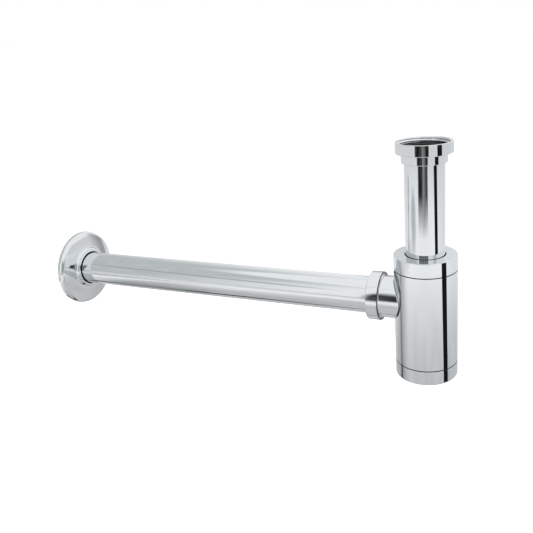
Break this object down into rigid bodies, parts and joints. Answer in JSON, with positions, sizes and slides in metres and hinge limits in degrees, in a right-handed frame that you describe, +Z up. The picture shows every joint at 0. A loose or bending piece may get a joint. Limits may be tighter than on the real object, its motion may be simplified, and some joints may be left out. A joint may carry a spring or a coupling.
{
  "type": "basin trap",
  "caption": "Bottle trap for a wash basin: dip tube with a coupling nut, a bottle with screwed cap and cup, and a straight outlet pipe to a domed wall flange.",
  "frame": {"origin": "centre of the coupling nut's mouth, on the dip tube's axis", "axes": "+Z up along the dip tube towards the basin, -X along the outlet pipe towards the wall"},
  "size_m": [0.4044, 0.0754, 0.1994],
  "materials": {
    "chrome_plate": "polished",
    "bare_brass": "turned",
    "black_rubber": "matt",
    "white_nylon": "satin"
  },
  "bodies": {
    "inlet_nut": {"inlet_nut": "chrome_plate"},
    "inlet_washer": {"inlet_washer": "black_rubber"},
    "inlet_tube": {"inlet_tube": "chrome_plate"},
    "tube_seal": {"tube_seal": "black_rubber"},
    "tube_slip_washer": {"tube_slip_washer": "white_nylon"},
    "cap": {"cap": "chrome_plate"},
    "cup_gasket": {"cup_gasket": "black_rubber"},
    "cup": {"cup": "chrome_plate"},
    "pipe_slip_washer": {"pipe_slip_washer": "white_nylon"},
    "outlet_nut": {"outlet_nut": "chrome_plate"},
    "pipe_seal": {"pipe_seal": "black_rubber"},
    "outlet_pipe": {"outlet_pipe": "chrome_plate"},
    "flange_ring": {"flange_ring": "black_rubber"},
    "wall_flange": {"wall_flange": "chrome_plate"},
    "bottle": {"bottle": "chrome_plate", "bottle_top_ring": "bare_brass", "bottle_base_ring": "bare_brass", "outlet_branch": "chrome_plate"}
  },
  "joints": [
    {"name": "tube_lift", "type": "slide", "parent": "inlet_nut", "child": "inlet_washer", "axis": [0, 0, 1], "range_m": [0, 0.04]},
    {"name": "tube_turn", "type": "hinge", "parent": "inlet_washer", "child": "inlet_tube", "pos_m": [0, 0, 0], "axis": [0, 0, 1], "continuous": true},
    {"name": "height_adjust", "type": "slide", "parent": "inlet_tube", "child": "tube_seal", "axis": [0, 0, 1], "range_m": [-0.045, 0.028]},
    {"name": "bottle_swivel", "type": "hinge", "parent": "tube_seal", "child": "bottle", "pos_m": [0, 0, 0], "axis": [0, 0, 1], "continuous": true},
    {"name": "cap_rise", "type": "slide", "parent": "bottle", "child": "tube_slip_washer", "axis": [0, 0, 1], "range_m": [0, 0.00675]},
    {"name": "cap_turn", "type": "hinge", "parent": "tube_slip_washer", "child": "cap", "pos_m": [0, 0, 0], "axis": [0, 0, 1], "range_deg": [0, 1620]},
    {"name": "cup_drop", "type": "slide", "parent": "bottle", "child": "cup_gasket", "axis": [0, 0, -1], "range_m": [0, 0.00675]},
    {"name": "cup_turn", "type": "hinge", "parent": "cup_gasket", "child": "cup", "pos_m": [0, 0, 0], "axis": [0, 0, -1], "range_deg": [0, 1620]},
    {"name": "outlet_nut_run", "type": "slide", "parent": "bottle", "child": "pipe_slip_washer", "axis": [-1, 0, 0], "range_m": [0, 0.006]},
    {"name": "outlet_nut_turn", "type": "hinge", "parent": "pipe_slip_washer", "child": "outlet_nut", "pos_m": [0, 0, -0.13335], "axis": [-1, 0, 0], "range_deg": [0, 1440]},
    {"name": "pipe_turn", "type": "hinge", "parent": "bottle", "child": "pipe_seal", "pos_m": [0, 0, -0.13335], "axis": [-1, 0, 0], "continuous": true},
    {"name": "pipe_slide", "type": "slide", "parent": "pipe_seal", "child": "outlet_pipe", "axis": [-1, 0, 0], "range_m": [0, 0.012]},
    {"name": "flange_slide", "type": "slide", "parent": "outlet_pipe", "child": "flange_ring", "axis": [1, 0, 0], "range_m": [-0.01, 0.301]},
    {"name": "flange_turn", "type": "hinge", "parent": "flange_ring", "child": "wall_flange", "pos_m": [0, 0, -0.13335], "axis": [1, 0, 0], "continuous": true}
  ],
  "couplings": [
    {"joint": "cap_rise", "follows": "cap_turn", "m_per_rad": 0.00023873},
    {"joint": "cup_drop", "follows": "cup_turn", "m_per_rad": 0.00023873},
    {"joint": "outlet_nut_run", "follows": "outlet_nut_turn", "m_per_rad": 0.00023873}
  ]
}
